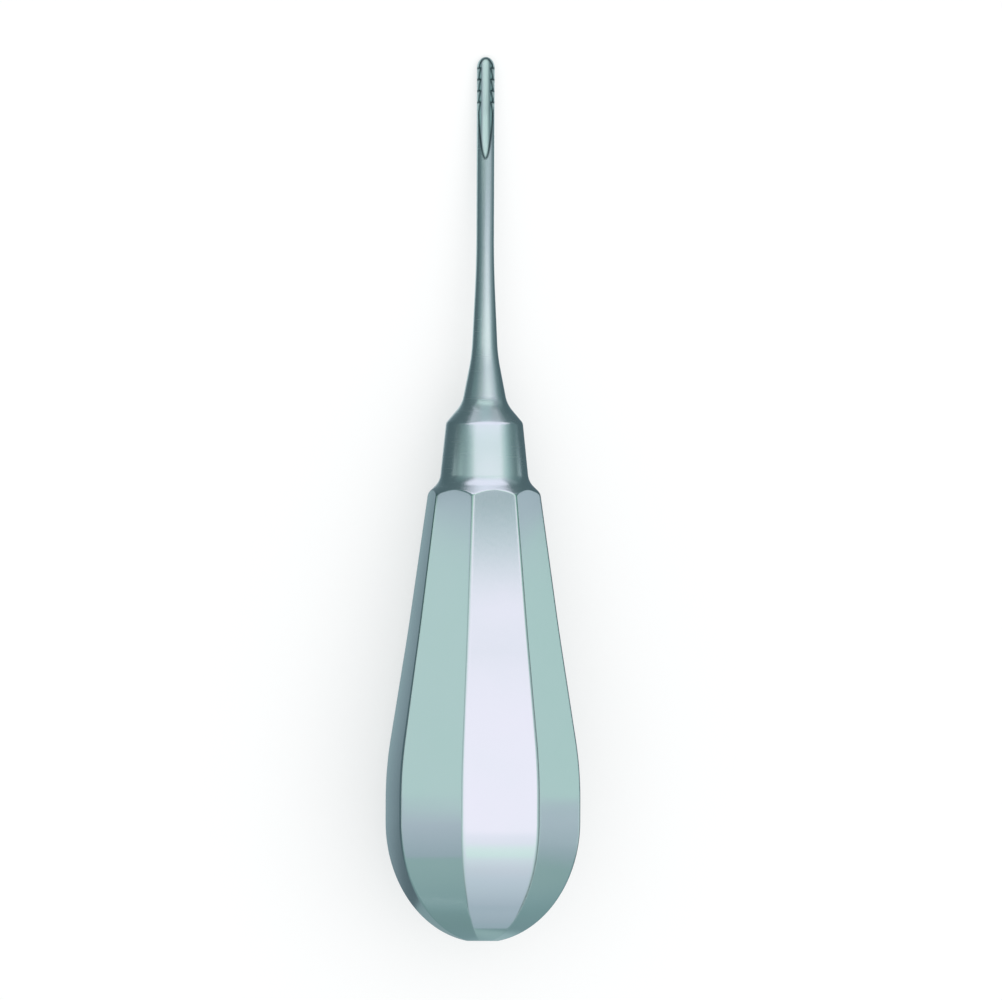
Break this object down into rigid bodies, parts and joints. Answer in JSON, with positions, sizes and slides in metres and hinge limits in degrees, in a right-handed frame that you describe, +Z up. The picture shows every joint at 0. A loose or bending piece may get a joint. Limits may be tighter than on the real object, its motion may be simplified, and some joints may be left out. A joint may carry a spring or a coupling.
{
  "type": "dental root elevator",
  "caption": "Hand instrument for lifting tooth roots: pear-shaped handle with ground flats, tapered collar and thin shank ending in a barbed gouge.",
  "frame": {"origin": "on the table, under the middle of the object's box, with the elevator lying on one of its flats and on its tip", "axes": "+Y along the elevator, from the butt of the handle to the tip; +Z up; the gouge opens upwards, turned 11.25 degrees about the axis towards -X"},
  "size_m": [0.0302, 0.1442, 0.0311],
  "materials": {
    "satin_steel": "fine satin grind, edges lightly polished"
  },
  "bodies": {
    "root": {"root_elevator": "satin_steel"}
  },
  "joints": []
}
